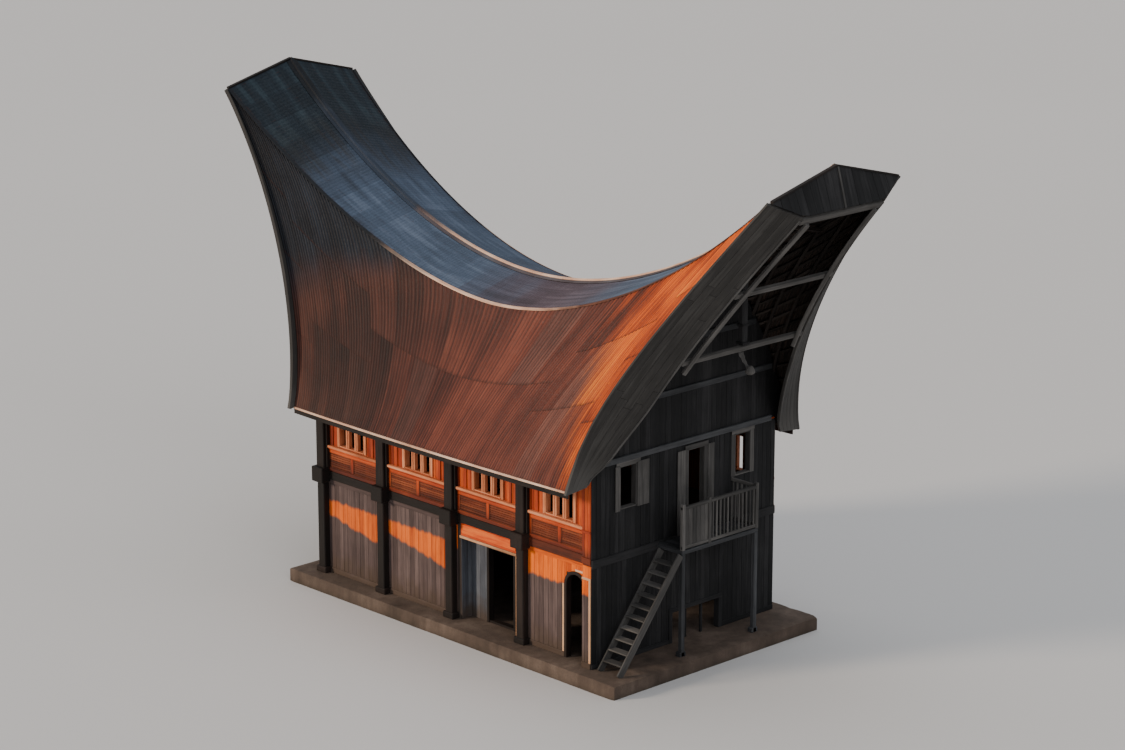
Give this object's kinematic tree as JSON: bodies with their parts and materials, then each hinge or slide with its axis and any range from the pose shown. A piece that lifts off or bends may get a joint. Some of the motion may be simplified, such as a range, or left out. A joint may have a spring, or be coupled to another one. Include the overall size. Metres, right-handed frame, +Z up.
{
  "type": "tongkonan house",
  "caption": "Timber house on a low plinth under a boat-shaped saddle roof of metal sheet with swept-up tips, side doorways, and a front balcony reached by a steep stair.",
  "frame": {"origin": "centre of the plan on the ground, under the plinth", "axes": "+Z up, +Y along the ridge from the entrance gable to the rear gable, +X to the right seen from the entrance side"},
  "size_m": [8.0312, 20.0502, 12.89],
  "materials": {
    "concrete": "rough weathered concrete",
    "ground_boards": "weathered pale vertical boards",
    "dark_timber": "dark stained timber",
    "panelling": "orange-brown painted panelling",
    "gable_timber": "dark weathered boards",
    "board_timber": "grey weathered planks",
    "pale_timber": "light grey weathered timber",
    "lintel_timber": "warm painted board",
    "rusted_sheet": "rusted corrugated sheet",
    "grey_sheet": "blue-grey weathered galvanised sheet",
    "pale_metal": "pale weathered flashing"
  },
  "bodies": {
    "root": {"plinth": "concrete", "side_post_1_left": "dark_timber", "side_post_2_left": "dark_timber", "side_post_3_left": "dark_timber", "side_post_4_left": "dark_timber", "side_post_5_left": "dark_timber", "side_post_1_right": "dark_timber", "side_post_2_right": "dark_timber", "side_post_3_right": "dark_timber", "side_post_4_right": "dark_timber", "side_post_5_right": "dark_timber", "ground_wall_arch_bay_left": "ground_boards", "ground_wall_arch_bay_right": "ground_boards", "ground_wall_recess_left": "ground_boards", "ground_wall_recess_right": "ground_boards", "recess_lintel_left": "lintel_timber", "recess_lintel_right": "lintel_timber", "ground_wall_rear_bays_left": "ground_boards", "ground_wall_rear_bays_right": "ground_boards", "ground_wall_front": "gable_timber", "ground_wall_rear": "gable_timber", "upper_floor": "dark_timber", "upper_wall_left": "panelling", "upper_wall_right": "panelling", "upper_wall_front": "gable_timber", "upper_wall_rear": "gable_timber", "gable_wall_front": "gable_timber", "gable_wall_rear": "gable_timber", "roof_slope_front_left": "rusted_sheet", "roof_slope_rear_left": "rusted_sheet", "roof_slope_front_right": "rusted_sheet", "roof_slope_rear_right": "rusted_sheet", "ridge_band_left": "grey_sheet", "ridge_band_right": "grey_sheet", "ridge_cap": "pale_metal", "ridge_beam": "dark_timber", "eave_fascia_left": "pale_metal", "eave_fascia_right": "pale_metal", "front_bargeboard_left": "board_timber", "front_bargeboard_right": "board_timber", "rear_bargeboard_left": "board_timber", "rear_bargeboard_right": "board_timber", "front_gable_rail_lower": "pale_timber", "rear_gable_rail_lower": "pale_timber", "front_gable_rail_upper": "pale_timber", "rear_gable_rail_upper": "pale_timber", "front_tip_beam": "pale_timber", "rear_tip_beam": "pale_timber", "front_tip_panel": "gable_timber", "rear_tip_panel": "gable_timber", "front_king_post": "board_timber", "rear_king_post": "board_timber", "front_hanging_neck": "pale_timber", "balcony_floor": "board_timber", "balcony_post_left": "board_timber", "balcony_post_right": "board_timber", "balcony_railing_front": "pale_timber", "balcony_railing_end": "pale_timber", "front_stair": "pale_timber"}
  },
  "joints": []
}
